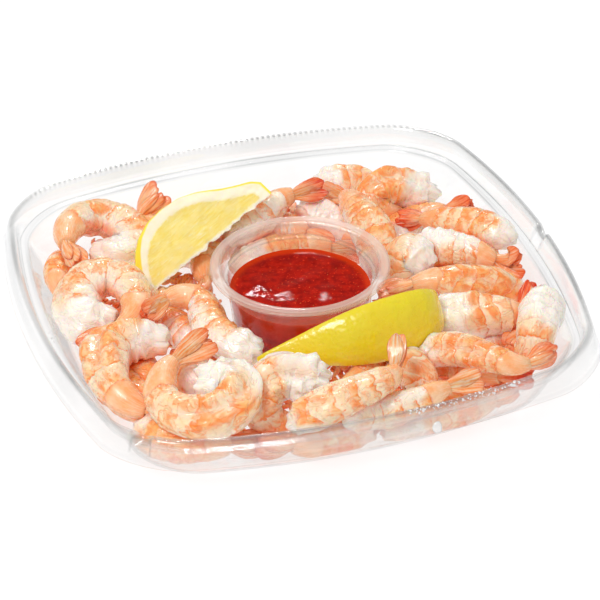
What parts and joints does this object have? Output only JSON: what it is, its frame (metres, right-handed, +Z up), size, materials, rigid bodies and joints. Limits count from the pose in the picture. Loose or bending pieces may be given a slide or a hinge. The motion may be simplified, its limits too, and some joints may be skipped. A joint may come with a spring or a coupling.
{
  "type": "shrimp cocktail",
  "caption": "Peeled, cooked, tail-on shrimps heaped round a small cup of red cocktail sauce, with lemon wedges, in a clear square party tray.",
  "frame": {"origin": "middle of the box round the whole, at the tray's underside", "axes": "+Z up out of the open tray; +X to the right and +Y to the back as it stands, along the tray's sides"},
  "size_m": [0.2262, 0.2262, 0.043],
  "materials": {
    "clear_plastic": "clear, glossy",
    "cup_plastic": "clear, slightly milky",
    "sauce_red": "wet, smooth with fine pulp",
    "lemon_yellow": "waxy, dimpled rind with moist pulp",
    "shrimp_flesh": "moist, soft gloss"
  },
  "bodies": {
    "root": {"tray": "clear_plastic", "sauce_cup": "cup_plastic", "cocktail_sauce": "sauce_red", "lemon_wedge_back": "lemon_yellow", "lemon_wedge_front": "lemon_yellow", "shrimp_01": "shrimp_flesh", "shrimp_02": "shrimp_flesh", "shrimp_03": "shrimp_flesh", "shrimp_04": "shrimp_flesh", "shrimp_05": "shrimp_flesh", "shrimp_06": "shrimp_flesh", "shrimp_07": "shrimp_flesh", "shrimp_08": "shrimp_flesh", "shrimp_09": "shrimp_flesh", "shrimp_10": "shrimp_flesh", "shrimp_11": "shrimp_flesh", "shrimp_12": "shrimp_flesh", "shrimp_13": "shrimp_flesh", "shrimp_14": "shrimp_flesh", "shrimp_15": "shrimp_flesh", "shrimp_16": "shrimp_flesh", "shrimp_17": "shrimp_flesh", "shrimp_18": "shrimp_flesh", "shrimp_19": "shrimp_flesh", "shrimp_20": "shrimp_flesh", "shrimp_21": "shrimp_flesh", "shrimp_22": "shrimp_flesh", "shrimp_23": "shrimp_flesh", "shrimp_24": "shrimp_flesh", "shrimp_25": "shrimp_flesh", "shrimp_26": "shrimp_flesh", "shrimp_27": "shrimp_flesh", "shrimp_28": "shrimp_flesh", "shrimp_29": "shrimp_flesh", "shrimp_30": "shrimp_flesh", "shrimp_31": "shrimp_flesh", "shrimp_32": "shrimp_flesh", "shrimp_33": "shrimp_flesh", "shrimp_34": "shrimp_flesh", "shrimp_35": "shrimp_flesh", "shrimp_36": "shrimp_flesh", "shrimp_37": "shrimp_flesh", "shrimp_38": "shrimp_flesh", "shrimp_39": "shrimp_flesh", "shrimp_40": "shrimp_flesh", "shrimp_41": "shrimp_flesh", "shrimp_42": "shrimp_flesh"}
  },
  "joints": []
}
